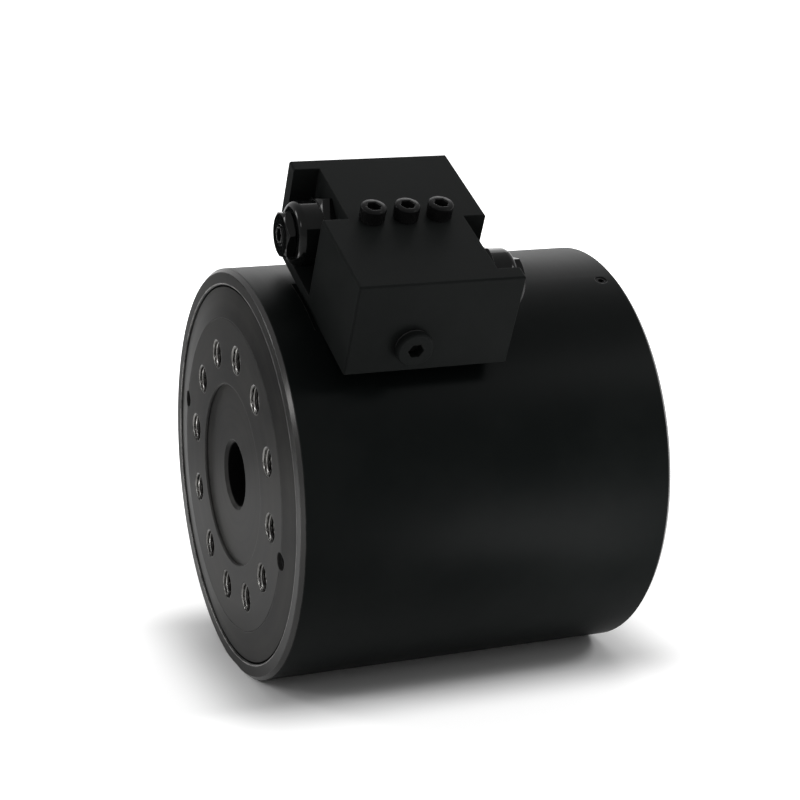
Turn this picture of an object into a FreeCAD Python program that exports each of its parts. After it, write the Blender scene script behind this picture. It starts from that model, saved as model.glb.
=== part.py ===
import FreeCAD, Part
import math
import os
import re
import Sketcher

# Hydraulic rotary actuator with a helical-spline piston, in millimetres.
# The turning axis is Y, the output face lies at y = 0 and looks along -Y, Z is up.
# A station is a distance along Y from the output face. "Across" and "up" are the valve block's
# own directions: the block stands on the housing, leaning about Y by BlockTilt.

Vector = FreeCAD.Vector
doc = FreeCAD.newDocument("RotaryActuator")
sheet = doc.addObject("Spreadsheet::Sheet", "Dimensions")
subparts = []

dimensions = [
    ("HousingRadius", 84, "outside of the housing tube"),
    ("HousingFront", 1, "station of the front rim"),
    ("HousingRear", 157, "station of the rear rim"),
    ("RimChamfer", 1.6, "outer edge of both rims"),
    ("MouthChamfer", 0.6, "inner edge of both rims"),
    ("SeatRadius", 77.3, "bore that the end caps turn in"),
    ("FrontShoulder", 22.2, "floor of the front seat"),
    ("RearShoulder", 135.8, "floor of the rear seat"),
    ("ChamberRadius", 68, "bore that the piston head runs in"),
    ("GearSeatRadius", 71, "bore behind the piston, which holds the ring gear"),
    ("GearFront", 83, "front face of the ring gear"),
    ("GearRear", 100, "rear face of the ring gear"),
    ("CapRadius", 77, "outside of both end caps"),
    ("WasherInner", 71.6, "bore of the thrust washers"),
    ("WasherOuter", 76.8, "outside of the thrust washers"),
    ("WasherPlay", 0.1, "axial play at each thrust washer"),
    ("FlangeRadius", 64, "shaft end disc, where the front cap ring is screwed on"),
    ("FlangeThick", 20, "thickness of the shaft end disc"),
    ("ConeDrop", 1.6, "how far the front cap ring slopes back to its rim"),
    ("RecessRadius", 37, "pilot recess in the output face"),
    ("RecessDepth", 1.5, "depth of the pilot recess"),
    ("HollowRadius", 13, "bore right through the shaft"),
    ("HollowChamfer", 1.5, "edge of the bore at both ends"),
    ("EdgeBreak", 0.5, "small broken edges"),
    ("SeamBreak", 0.15, "broken edges where the shaft end disc and the front cap ring meet"),
    ("OutputCircle", 50, "radius of the output bolt circle"),
    ("OutputBolts", 12, "tapped holes in the output face"),
    ("OutputPhase", 9, "place of the first output hole, from the top"),
    ("BoltRadius", 6, "M12 thread, drawn at its nominal size"),
    ("OutputDepth", 17, "depth of the output holes"),
    ("RearFace", 158, "outer face of the rear cap"),
    ("RearCapFront", 138, "inner face of the rear cap"),
    ("RearCircle", 58, "radius of the rear bolt circle"),
    ("RearBolts", 8, "tapped holes in the rear cap"),
    ("RearPhase", 22.5, "place of the first rear hole, from the top"),
    ("RearDepth", 15, "depth of the rear holes"),
    ("JournalRadius", 40, "rear end of the shaft, where the rear cap is screwed on"),
    ("LandRadius", 47, "polished part of the shaft that the piston slides on"),
    ("LockRadius", 3.6, "lock screws on the joints of shaft and caps"),
    ("LockSink", 1.4, "how far the lock screws lie below the face"),
    ("LockLength", 11, "length of the lock screws"),
    ("LockAngle", 106, "place of the first front lock screw, from the top"),
    ("LockSocket", 4, "hexagon in the lock screws, across flats"),
    ("WiperStart", 3.5, "dust wiper groove, from the outer face"),
    ("WiperWide", 3, "width of the dust wiper groove"),
    ("WiperFloor", 74.5, "radius of the dust wiper groove's floor"),
    ("SealStart", 8.5, "shaft seal groove, from the outer face"),
    ("SealWide", 5, "width of the shaft seal groove"),
    ("SealFloor", 72.5, "radius of the shaft seal groove's floor"),
    ("GuideStart", 15, "guide ring groove, from the outer face"),
    ("GuideWide", 3.5, "width of the guide ring groove"),
    ("GuideFloor", 74.8, "radius of the guide ring groove's floor"),
    ("GrooveGap", 0.1, "side play of a ring in its groove"),
    ("RingGap", 0.05, "radial play of a sealing ring on its mating bore"),
    ("CordRadius", 0.95, "section radius of the cap O-rings"),
    ("CordGroove", 2.5, "width of the cap O-ring grooves"),
    ("CordDepth", 2, "depth of the cap O-ring grooves"),
    ("FrontCord", 14, "station of the front cap O-ring groove"),
    ("RearCord", 143, "station of the rear cap O-ring groove"),
    ("HeadFront", 40.5, "front of the piston head at mid travel"),
    ("HeadRelief", 13, "length of the piston's thinner nose"),
    ("ReliefRadius", 62, "outside of the piston's thinner nose"),
    ("HeadLength", 24, "length of the piston head"),
    ("HeadRadius", 67.9, "outside of the piston head"),
    ("PistonRear", 118, "rear end of the piston at mid travel"),
    ("SkirtBore", 47.5, "clearance bore of the piston skirt"),
    ("HeadBore", 47.06, "bore of the piston head on the shaft's land"),
    ("SkirtSplineFront", 100.5, "front of the piston's inner spline"),
    ("PistonGuideStart", 14.1, "piston guide ring groove, from the head's front"),
    ("PistonGuideWide", 3.6, "width of the piston guide ring groove"),
    ("PistonGuideFloor", 65.4, "floor radius of the piston guide ring groove"),
    ("PistonSealStart", 18.9, "piston seal groove, from the head's front"),
    ("PistonSealWide", 4, "width of the piston seal groove"),
    ("PistonSealFloor", 63.4, "floor radius of the piston seal groove"),
    ("RodSealStart", 5.5, "rod seal groove, from the head's front"),
    ("RodSealWide", 4, "width of the rod seal groove"),
    ("RodSealFloor", 50, "floor radius of the rod seal groove"),
    ("OuterStarts", 12, "teeth of the outer spline"),
    ("OuterLead", 180, "right-hand lead of the outer spline"),
    ("OuterRoot", 57.5, "root of the piston's outer teeth"),
    ("OuterTip", 61.5, "tip of the piston's outer teeth"),
    ("OuterRootHalf", 7.8, "half angle of an outer tooth at its root"),
    ("OuterTipHalf", 6.4, "half angle of an outer tooth at its tip"),
    ("InnerStarts", 10, "teeth of the inner spline"),
    ("InnerLead", 120, "left-hand lead of the inner spline"),
    ("InnerRoot", 42.7, "root of the shaft's teeth"),
    ("InnerTip", 46.3, "tip of the shaft's teeth"),
    ("InnerRootHalf", 9, "half angle of a shaft tooth at its root"),
    ("InnerTipHalf", 6.8, "half angle of a shaft tooth at its tip"),
    ("ToothGap", 0.5, "radial room at tips and roots"),
    ("OuterPlay", 1, "angular room on each flank of the outer spline"),
    ("InnerPlay", 1.25, "angular room on each flank of the inner spline"),
    ("ShaftSplineFront", 82, "front end of the shaft's teeth"),
    ("ShaftSplineRear", 137, "rear end of the shaft's teeth"),
    ("MeshStation", 100, "station where the teeth are set in mesh"),
    ("SplineOver", 2, "run-out of the spline cutters"),
    ("PadHeight", 82, "distance of the base pad below the axis"),
    ("PadHalf", 24, "half width of the cutter that makes the base pad"),
    ("PadCut", 4, "height of the cutter that makes a flat"),
    ("FootRadius", 5, "M10 thread in the base pad, drawn at its nominal size"),
    ("FootDepth", 11, "depth of the base holes"),
    ("FootAcross", 11, "base holes, from the middle"),
    ("FootFront", 44, "station of the front base holes"),
    ("FootRear", 114, "station of the rear base holes"),
    ("GreaseAngle", 23, "place of the grease plug, from the top"),
    ("GreaseStation", 149, "station of the grease plug"),
    ("GreaseRadius", 2.5, "grease plug"),
    ("GreaseSocket", 2.5, "hexagon in the grease plug, across flats"),
    ("GreaseTop", 83.6, "outer end of the grease plug"),
    ("BlockTilt", 25, "lean of the valve block about the axis"),
    ("BlockBase", 82.5, "underside of the block above the axis"),
    ("BlockTop", 122, "top of the block above the axis"),
    ("BlockHalf", 43, "half width of the block"),
    ("BlockFront", 21, "station of the block's front end"),
    ("BlockRear", 87.5, "station of the block's rear end"),
    ("BlockChamfer", 0.6, "edges of the block"),
    ("BlockSeatOver", 2, "room around the block on its seat"),
    ("PocketRib", 6.5, "wall that is left beside each end pocket"),
    ("PocketMiddle", 1, "inner side of each end pocket, from the middle"),
    ("PocketFloor", 87, "floor of the end pockets above the axis"),
    ("FrontPocket", 31.5, "wall of the front pocket"),
    ("RearPocket", 78, "wall of the rear pocket"),
    ("ScrewFirst", 40.5, "station of the first block screw"),
    ("ScrewPitch", 13.75, "spacing of the block screws"),
    ("ScrewRadius", 3, "M6 thread, drawn at its nominal size"),
    ("ScrewClear", 3.3, "clearance holes for the block screws"),
    ("ScrewHead", 5, "head of the block screws"),
    ("ScrewHeadHigh", 6, "height of the head"),
    ("ScrewSocket", 5, "hexagon in the head, across flats"),
    ("ScrewSocketDeep", 3, "depth of that hexagon"),
    ("ScrewReach", 8.5, "thread of the block screws in the housing"),
    ("ScrewHole", 10, "depth of the screw holes in the housing"),
    ("OilRadius", 2.2, "oil drillings"),
    ("OilAcross", 10.3, "oil ports, from the block's middle"),
    ("FrontOil", 46.5, "station of the front oil port"),
    ("RearOil", 72.5, "station of the rear oil port"),
    ("OilRise", 20, "height of the oil drillings in the block"),
    ("OilDeep", 10, "depth of the oil drillings in the housing"),
    ("GalleryHeight", 73.6, "height of the long drillings above the axis"),
    ("FrontExit", 30, "station where the front drilling opens into the front chamber"),
    ("RearExit", 126, "station where the rear drilling opens into the rear chamber"),
    ("GalleryOver", 2.5, "how far the long drillings run past the oil ports"),
    ("GalleryExitDeep", 8, "depth of the openings from the long drillings into the chambers"),
    ("GalleryPlug", 4, "length of the plugs in the long drillings"),
    ("FaceCordRadius", 0.88, "section radius of the O-rings under the block"),
    ("FaceCordRing", 3.9, "ring radius of the O-rings under the block"),
    ("FaceCordRoom", 5.2, "recess for the O-rings under the block"),
    ("FaceCordDeep", 1.8, "depth of that recess"),
    ("PortRadius", 6.58, "hose ports, a quarter-inch pipe thread at its nominal size"),
    ("PortDepth", 13, "depth of the hose ports"),
    ("PortHeight", 103, "height of the hose ports above the axis"),
    ("FrontPort", 42, "station of the front hose port"),
    ("RearPort", 74.5, "station of the rear hose port"),
    ("FrontPassage", 22, "length of the front port's drilling"),
    ("RearPassage", 54, "length of the rear port's drilling"),
    ("PassageRadius", 1.8, "drillings from the hose ports"),
    ("PlugStation", 46.5, "station of the plug on the block's side"),
    ("PlugHeight", 94.2, "height of that plug above the axis"),
    ("PlugRadius", 5, "thread of the plug"),
    ("PlugDepth", 9, "length of the plug's thread"),
    ("PlugHead", 7.3, "head of the plug"),
    ("PlugHeadThick", 3, "thickness of the plug's head"),
    ("PlugSocket", 5.5, "hexagon in the plug, across flats"),
    ("PlugSocketDeep", 4, "depth of that hexagon"),
    ("PlugWasher", 1, "sealing washer under the plug"),
    ("PlugWasherRadius", 6.9, "outside of that washer"),
    ("ValveAcross", 19.5, "valve axes, from the block's middle"),
    ("ValveHeight", 103.6, "valve axes above the turning axis"),
    ("ValveOut", 19.4, "reach of a valve in front of its pocket wall"),
    ("ValveNutStart", 0.4, "outer face of the lock nut, along the valve"),
    ("BonnetStart", 4.4, "outer face of the cartridge's round bonnet"),
    ("BonnetRadius", 12.8, "round bonnet of the cartridge"),
    ("BonnetRound", 3, "rounding of the bonnet's outer edge"),
    ("ValveHexStart", 14.4, "outer face of the cartridge's hexagon, which meets the pocket wall"),
    ("ValveHex", 27, "cartridge's hexagon, across flats"),
    ("ValveNut", 17, "lock nut, across flats"),
    ("ValveLarge", 10, "first step of the valve's cavity"),
    ("ValveMiddle", 8, "second step of the cavity"),
    ("ValveSmall", 5.5, "last step of the cavity"),
    ("ValveStepOne", 20, "length of the first step"),
    ("ValveStepTwo", 36, "depth of the second step"),
    ("ValveStepThree", 42, "depth of the last step"),
    ("ValvePlay", 0.05, "play of the cartridge in its cavity"),
    ("ValveNose", 1, "room at the end of each step"),
    ("ValveBore", 5, "spring chamber in the cartridge"),
    ("ValveSeat", 3, "flow hole in the cartridge's nose"),
    ("AdjusterRadius", 4, "adjuster, drawn at its nominal thread size"),
    ("AdjusterEnd", 22, "inner end of the adjuster along the valve"),
    ("AdjusterSocket", 5, "hexagon in the adjuster, across flats"),
    ("AdjusterSocketDeep", 4, "depth of that hexagon"),
    ("PoppetStart", 40, "spring end of the poppet along the valve"),
    ("PoppetEnd", 54.4, "nose of the poppet along the valve"),
    ("PoppetRadius", 4.6, "outside of the poppet"),
    ("PoppetNose", 2.2, "end of the poppet's cone"),
    ("SeatStation", 54, "where the spring chamber ends along the valve"),
    ("SpringRing", 3.4, "middle radius of the valve springs"),
    ("SpringWire", 0.8, "wire radius of the valve springs"),
    ("SpringTurns", 6, "turns of the valve springs"),
    ("SpringRoom", 2, "room at the adjuster's end of the valve springs"),
    ("ValveCordRadius", 0.8, "section radius of the cartridge O-rings"),
    ("ValveCordWide", 2.2, "width of the cartridge O-ring grooves"),
    ("ValveCordOne", 32, "first cartridge O-ring groove along the valve"),
    ("ValveCordTwo", 48, "second cartridge O-ring groove along the valve"),
    ("ValveCordDeep", 1.7, "depth of the cartridge O-ring grooves"),
]
for row, (alias, value, meaning) in enumerate(dimensions, start=1):
    sheet.set(f"A{row}", alias)
    sheet.set(f"B{row}", str(value))
    sheet.set(f"C{row}", meaning)
    sheet.setAlias(f"B{row}", alias)
doc.recompute()


def size(text):
    """The value of an expression on the sheet."""
    return float(sheet.evalExpression(text))


def bound(text):
    """The same expression as another object writes it; the sheet's names start with a capital."""
    return re.sub(r"\b[A-Z]\w*", r"Dimensions.\g<0>", text)


def tilted(across, up, angle="BlockTilt"):
    """The X and Z expressions of a point that is given across and up in a frame turned about Y."""
    cosine = f"cos({angle} * 1 deg)"
    sine = f"sin({angle} * 1 deg)"
    return f"({across}) * {cosine} + ({up}) * {sine}", f"({up}) * {cosine} - ({across}) * {sine}"


def new_body(label):
    body = doc.addObject("PartDesign::Body", label)
    body.Label = label
    subparts.append(body)
    return body


def plane(body, role):
    return next(item for item in body.Origin.OriginFeatures if item.Role == role)


def new_sketch(body, name, role):
    sketch = body.newObject("Sketcher::SketchObject", f"{body.Label}_{name}")
    sketch.AttachmentSupport = [(plane(body, role), "")]
    sketch.MapMode = "FlatFace"
    return sketch


def across_sketch(body, name, station):
    """A sketch square to the axis at a station: its x is X and its y is Z, and it looks along -Y."""
    sketch = new_sketch(body, name, "XZ_Plane")
    sketch.AttachmentOffset = FreeCAD.Placement(Vector(0, 0, -size(station)), FreeCAD.Rotation())
    sketch.setExpression("AttachmentOffset.Base.z", f"-({bound(station)}) * 1 mm")
    return sketch


def flat_sketch(body, name, lift, angle="0"):
    """A sketch that faces up, turned about Y and lifted: its x is across and its y is along the axis."""
    sketch = new_sketch(body, name, "XY_Plane")
    x, z = tilted("0", lift, angle)
    turn = FreeCAD.Rotation(Vector(0, 1, 0), size(angle))
    sketch.AttachmentOffset = FreeCAD.Placement(Vector(size(x), 0, size(z)), turn)
    sketch.setExpression("AttachmentOffset.Base.x", f"({bound(x)}) * 1 mm")
    sketch.setExpression("AttachmentOffset.Base.z", f"({bound(z)}) * 1 mm")
    if angle != "0":
        sketch.setExpression("AttachmentOffset.Rotation.Angle", f"{bound(angle)} * 1 deg")
    return sketch


def pin(sketch, index, spot, x, y):
    """Holds a point of the sketch at two expressions, measured from the sketch's origin."""
    for kind, text, axis in (("DistanceX", x, -2), ("DistanceY", y, -1)):
        value = size(text)
        if abs(value) < 1e-9:
            sketch.addConstraint(Sketcher.Constraint("PointOnObject", index, spot, axis))
            continue
        held = sketch.addConstraint(Sketcher.Constraint(kind, -1, 1, index, spot, value))
        sketch.setExpression(f"Constraints[{held}]", f"({bound(text)}) * 1 mm")


def polygon(sketch, points):
    """A closed outline through points that are given as pairs of expressions."""
    first = sketch.GeometryCount
    corners = [Vector(size(x), size(y), 0) for x, y in points]
    for a, b in zip(corners, corners[1:] + corners[:1]):
        sketch.addGeometry(Part.LineSegment(a, b), False)
    count = len(points)
    for i in range(count):
        following = first + (i + 1) % count
        sketch.addConstraint(Sketcher.Constraint("Coincident", first + i, 2, following, 1))
    for i, (x, y) in enumerate(points):
        pin(sketch, first + i, 1, x, y)


def rectangle(sketch, left, right, low, high):
    polygon(sketch, [(left, low), (right, low), (right, high), (left, high)])


def circle(sketch, x, y, radius):
    outline = Part.Circle(Vector(size(x), size(y), 0), Vector(0, 0, 1), size(radius))
    index = sketch.addGeometry(outline, False)
    pin(sketch, index, 3, x, y)
    held = sketch.addConstraint(Sketcher.Constraint("Radius", index, size(radius)))
    sketch.setExpression(f"Constraints[{held}]", f"({bound(radius)}) * 1 mm")


def hexagon(sketch, x, y, flats, upright=False):
    """A hexagon by its size across flats, two corners on the sketch's x direction, or its y if upright."""
    long = f"({flats}) / sqrt(3)"
    short = f"({flats}) / sqrt(12)"
    half = f"({flats}) / 2"
    steps = [(long, "0"), (short, half), (f"-{short}", half), (f"-{long}", "0"), (f"-{short}", f"-{half}"),
             (short, f"-{half}")]
    if upright:
        steps = [(dy, dx) for dx, dy in steps]
    polygon(sketch, [(f"{x} + {dx}", f"{y} + {dy}") for dx, dy in steps])


def pad(body, sketch, length, reverse=False):
    made = body.newObject("PartDesign::Pad", sketch.Name + "_pad")
    made.Profile = sketch
    made.Reversed = reverse
    made.setExpression("Length", f"({bound(length)}) * 1 mm")
    doc.recompute()
    return made


def pocket(body, sketch, length, reverse=False):
    """Cuts against the sketch's own direction, or along it if reversed; an empty cut is an error."""
    before = body.Shape.Volume
    made = body.newObject("PartDesign::Pocket", sketch.Name + "_pocket")
    made.Profile = sketch
    made.Reversed = reverse
    made.setExpression("Length", f"({bound(length)}) * 1 mm")
    doc.recompute()
    if body.Shape.Volume >= before:
        raise ValueError(f"{sketch.Name} cuts nothing")
    return made


def turned(label, outline):
    """A body turned about Y from an outline of (radius, station) pairs."""
    body = new_body(label)
    sketch = new_sketch(body, "section", "XY_Plane")
    polygon(sketch, outline)
    made = body.newObject("PartDesign::Revolution", label + "_turning")
    made.Profile = sketch
    made.ReferenceAxis = (sketch, ["V_Axis"])
    made.Angle = 360
    doc.recompute()
    return body


def groove(body, name, outline):
    """A turned cut about Y from an outline of (radius, station) pairs."""
    before = body.Shape.Volume
    sketch = new_sketch(body, name, "XY_Plane")
    polygon(sketch, outline)
    made = body.newObject("PartDesign::Groove", sketch.Name + "_cut")
    made.Profile = sketch
    made.ReferenceAxis = (sketch, ["V_Axis"])
    made.Angle = 360
    doc.recompute()
    if body.Shape.Volume >= before:
        raise ValueError(f"{sketch.Name} cuts nothing")
    return made


def ring(label, inner, outer, start, end):
    return turned(label, [(inner, start), (outer, start), (outer, end), (inner, end)])


def place(item, x, y, z, turn=None):
    """Puts an object at expressions of position, leaning with the block."""
    lean = FreeCAD.Rotation(Vector(0, 1, 0), size("BlockTilt"))
    rotation = lean if turn is None else lean * turn
    item.Placement = FreeCAD.Placement(Vector(size(x), size(y), size(z)), rotation)
    for axis, text in zip("xyz", (x, y, z)):
        item.setExpression(f"Placement.Base.{axis}", f"({bound(text)}) * 1 mm")
    if turn is None:
        item.setExpression("Placement.Rotation.Angle", f"{bound('BlockTilt')} * 1 deg")


def torus(label, radius, section):
    """An O-ring about Z at the origin, which its own Placement then sets in its groove."""
    item = doc.addObject("Part::Torus", label)
    item.setExpression("Radius1", f"({bound(radius)}) * 1 mm")
    item.setExpression("Radius2", f"({bound(section)}) * 1 mm")
    return item


def axial_torus(label, radius, section, station):
    item = torus(label, radius, section)
    item.Placement = FreeCAD.Placement(Vector(0, size(station), 0), FreeCAD.Rotation(Vector(1, 0, 0), 90))
    item.setExpression("Placement.Base.y", f"({bound(station)}) * 1 mm")
    return item


def group(label, items):
    made = doc.addObject("Part::Compound", label)
    made.Label = label
    made.Links = items
    subparts.append(made)
    return made


def keystone(inner, outer, inner_half, outer_half):
    """A closed outline across the axis between two radii, with its half angles in degrees."""
    def at(radius, degrees):
        angle = math.radians(degrees)
        return Vector(radius * math.cos(angle), radius * math.sin(angle), 0)

    inner_arc = Part.Arc(at(inner, inner_half), at(inner, 0), at(inner, -inner_half))
    outer_arc = Part.Arc(at(outer, -outer_half), at(outer, 0), at(outer, outer_half))
    low_side = Part.LineSegment(at(inner, -inner_half), at(outer, -outer_half))
    high_side = Part.LineSegment(at(outer, outer_half), at(inner, inner_half))
    return Part.Wire([edge.toShape() for edge in (low_side, outer_arc, high_side, inner_arc)])


def spline_cutters(label, outline, spline, phase, front, rear):
    """Helical cutters about Y between two stations: an outline carried along a helix for each start."""
    starts = int(size(f"{spline}Starts"))
    lead = size(f"{spline}Lead")
    left = spline == "Inner"
    begin = size(front)
    end = size(rear)
    helix = Part.makeHelix(lead, end - begin, outline.BoundBox.XMax, 0, left)
    sweep = Part.BRepOffsetAPI.MakePipeShell(Part.Wire(helix.Edges))
    sweep.setFrenetMode(True)
    sweep.add(outline)
    sweep.build()
    sweep.makeSolid()
    hand = -1 if left else 1
    first = phase + hand * 360 * (begin - size("MeshStation")) / lead
    cutters = []
    for i in range(starts):
        cutter = sweep.shape()
        cutter.rotate(Vector(0, 0, 0), Vector(0, 0, 1), first + 360 * i / starts)
        cutter.rotate(Vector(0, 0, 0), Vector(1, 0, 0), -90)
        cutter.translate(Vector(0, begin, 0))
        cutters.append(cutter)
    item = doc.addObject("Part::Feature", label)
    item.Shape = Part.makeCompound(cutters)
    return item


def cut(label, blank, tool):
    """The blank less the tool, which takes the blank's place among the sub-parts."""
    made = doc.addObject("Part::Cut", label)
    made.Label = label
    made.Base = blank
    made.Tool = tool
    doc.recompute()
    if blank in subparts:
        subparts[subparts.index(blank)] = made
    else:
        subparts.append(made)
    if made.Shape.Volume >= blank.Shape.Volume:
        raise ValueError(f"{label} cuts nothing")
    return made


def lock_holes(body, station, radius, angle, reverse=False):
    """The two holes, opposite each other, that take lock screws on a joint circle."""
    sketch = across_sketch(body, "lock_holes", station)
    for sign in ("", "-"):
        x = f"{sign}({radius}) * sin({angle} * 1 deg)"
        z = f"{sign}({radius}) * cos({angle} * 1 deg)"
        circle(sketch, x, z, "LockRadius")
    pocket(body, sketch, "LockSink + LockLength", reverse)


def lock_screws(label, face, radius, angle, inward):
    """A pair of socket set screws; inward is + or -, the way from the face into the part."""
    body = new_body(label)
    rear = inward == "-"
    shank = across_sketch(body, "shank", f"{face} {inward} LockSink")
    socket = across_sketch(body, "socket", f"{face} {inward} LockSink")
    for sign in ("", "-"):
        x = f"{sign}({radius}) * sin({angle} * 1 deg)"
        z = f"{sign}({radius}) * cos({angle} * 1 deg)"
        circle(shank, x, z, "LockRadius")
        hexagon(socket, x, z, "LockSocket")
    pad(body, shank, "LockLength", reverse=not rear)
    pocket(body, socket, "LockSocket", reverse=rear)
    return body


def tapped_circle(body, name, station, radius, count, first, depth, reverse=False):
    """Tapped holes, evenly round a circle; first is the angle of one of them from the top."""
    x = f"{radius} * sin({first} * 1 deg)"
    z = f"{radius} * cos({first} * 1 deg)"
    drill = across_sketch(body, name, station)
    circle(drill, x, z, "BoltRadius")
    hole = pocket(body, drill, depth, reverse)
    pattern = body.newObject("PartDesign::PolarPattern", f"{body.Label}_{name}_pattern")
    pattern.Originals = [hole]
    pattern.Axis = (plane(body, "Y_Axis"), [""])
    pattern.Angle = 360
    pattern.setExpression("Occurrences", bound(count))
    body.Tip = pattern
    doc.recompute()


def cap_grooves(face, inward):
    """The outline of the three ring grooves in an end cap's rim, from its outer face inwards."""
    outline = []
    for name in ("Wiper", "Seal", "Guide"):
        near = f"{face} {inward} {name}Start"
        far = f"{face} {inward} ({name}Start + {name}Wide)"
        outline += [("CapRadius", near), (f"{name}Floor", near), (f"{name}Floor", far), ("CapRadius", far)]
    return outline


def cap_rings(end, face, inward):
    """The dust wiper, shaft seal and guide ring that sit in an end cap's grooves."""
    for name, label in (("Wiper", "dust_wiper"), ("Seal", "shaft_seal"), ("Guide", "guide_ring")):
        near = f"{face} {inward} ({name}Start + GrooveGap)"
        far = f"{face} {inward} ({name}Start + {name}Wide - GrooveGap)"
        low, high = (near, far) if inward == "+" else (far, near)
        ring(f"{end}_{label}", f"{name}Floor + GrooveGap", "SeatRadius - RingGap", low, high)


# Housing: a tube with a seat for an end cap at each end, turned in one piece
housing = turned("housing", [
    ("SeatRadius + MouthChamfer", "HousingFront"),
    ("HousingRadius - RimChamfer", "HousingFront"),
    ("HousingRadius", "HousingFront + RimChamfer"),
    ("HousingRadius", "HousingRear - RimChamfer"),
    ("HousingRadius - RimChamfer", "HousingRear"),
    ("SeatRadius + MouthChamfer", "HousingRear"),
    ("SeatRadius", "HousingRear - MouthChamfer"),
    ("SeatRadius", "RearShoulder"),
    ("GearSeatRadius", "RearShoulder"),
    ("GearSeatRadius", "GearFront"),
    ("ChamberRadius", "GearFront"),
    ("ChamberRadius", "FrontShoulder"),
    ("SeatRadius", "FrontShoulder"),
    ("SeatRadius", "HousingFront + MouthChamfer"),
])
seat = flat_sketch(housing, "block_seat", "BlockBase", "BlockTilt")
rectangle(seat, "-PadHalf", "PadHalf", "BlockFront - BlockSeatOver", "BlockRear + BlockSeatOver")
pocket(housing, seat, "PadCut", reverse=True)
oil_ways = flat_sketch(housing, "oil_ways", "BlockBase", "BlockTilt")
circle(oil_ways, "-OilAcross", "FrontOil", "OilRadius")
circle(oil_ways, "OilAcross", "RearOil", "OilRadius")
pocket(housing, oil_ways, "OilDeep")
front_x, front_z = tilted("-OilAcross", "GalleryHeight")
rear_x, rear_z = tilted("OilAcross", "GalleryHeight")
front_gallery = across_sketch(housing, "front_gallery", "FrontShoulder")
circle(front_gallery, front_x, front_z, "OilRadius")
pocket(housing, front_gallery, "FrontOil + GalleryOver - FrontShoulder")
rear_gallery = across_sketch(housing, "rear_gallery", "RearShoulder")
circle(rear_gallery, rear_x, rear_z, "OilRadius")
pocket(housing, rear_gallery, "RearShoulder - RearOil + GalleryOver", reverse=True)
exits = flat_sketch(housing, "gallery_exits", "GalleryHeight", "BlockTilt")
circle(exits, "-OilAcross", "FrontExit", "OilRadius")
circle(exits, "OilAcross", "RearExit", "OilRadius")
pocket(housing, exits, "GalleryExitDeep")
screw_holes = flat_sketch(housing, "screw_holes", "BlockBase", "BlockTilt")
for turn in range(3):
    circle(screw_holes, "0", f"ScrewFirst + {turn} * ScrewPitch", "ScrewRadius")
pocket(housing, screw_holes, "ScrewHole")
base_pad = flat_sketch(housing, "base_pad", "-PadHeight")
rectangle(base_pad, "-PadHalf", "PadHalf", "HousingFront - 1", "HousingRear + 1")
pocket(housing, base_pad, "PadCut")
foot_holes = flat_sketch(housing, "foot_holes", "-PadHeight")
for sign in ("", "-"):
    for station in ("FootFront", "FootRear"):
        circle(foot_holes, f"{sign}FootAcross", station, "FootRadius")
pocket(housing, foot_holes, "FootDepth", reverse=True)
grease_hole = flat_sketch(housing, "grease_hole", "HousingRadius", "GreaseAngle")
circle(grease_hole, "0", "GreaseStation", "GreaseRadius")
pocket(housing, grease_hole, "HousingRadius - SeatRadius + 1")

# Grease plug: a small socket set screw in the housing wall
grease_plug = new_body("grease_plug")
grease_round = flat_sketch(grease_plug, "round", "GreaseTop", "GreaseAngle")
circle(grease_round, "0", "GreaseStation", "GreaseRadius")
pad(grease_plug, grease_round, "GreaseTop - SeatRadius - 1", reverse=True)
grease_hex = flat_sketch(grease_plug, "socket", "GreaseTop", "GreaseAngle")
hexagon(grease_hex, "0", "GreaseStation", "GreaseSocket")
pocket(grease_plug, grease_hex, "GreaseSocket")

# Gallery plugs: close the long drillings behind the thrust washers
plugs = new_body("gallery_plugs")
front_end = across_sketch(plugs, "front_end", "FrontShoulder")
circle(front_end, front_x, front_z, "OilRadius")
pad(plugs, front_end, "GalleryPlug", reverse=True)
rear_end = across_sketch(plugs, "rear_end", "RearShoulder")
circle(rear_end, rear_x, rear_z, "OilRadius")
pad(plugs, rear_end, "GalleryPlug")

# Thrust washers between the end caps and the housing's shoulders
ring("front_thrust_washer", "WasherInner", "WasherOuter", "FlangeThick + WasherPlay", "FrontShoulder")
ring("rear_thrust_washer", "WasherInner", "WasherOuter", "RearShoulder", "RearCapFront - WasherPlay")

# Ring gear: the internal helical spline, shrunk into the housing against a step
gear_tip = "OuterRoot + ToothGap"
gear_root = "OuterTip + ToothGap"
gear_blank = ring("ring_gear_blank", gear_tip, "GearSeatRadius", "GearFront", "GearRear")
flank = (size("OuterRootHalf") - size("OuterTipHalf")) / (size("OuterTip") - size("OuterRoot"))
gear_mouth = size(gear_tip) - size("SplineOver")


def outer_half(radius):
    """Half angle of an outer tooth at a radius."""
    return size("OuterRootHalf") - flank * (radius - size("OuterRoot"))


gear_outline = keystone(gear_mouth, size(gear_root), outer_half(gear_mouth) + size("OuterPlay"),
                        outer_half(size(gear_root)) + size("OuterPlay"))
gear_cutters = spline_cutters("ring_gear_cutters", gear_outline, "Outer", 0, "GearFront - SplineOver",
                              "GearRear + SplineOver")
cut("ring_gear", gear_blank, gear_cutters)

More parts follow.
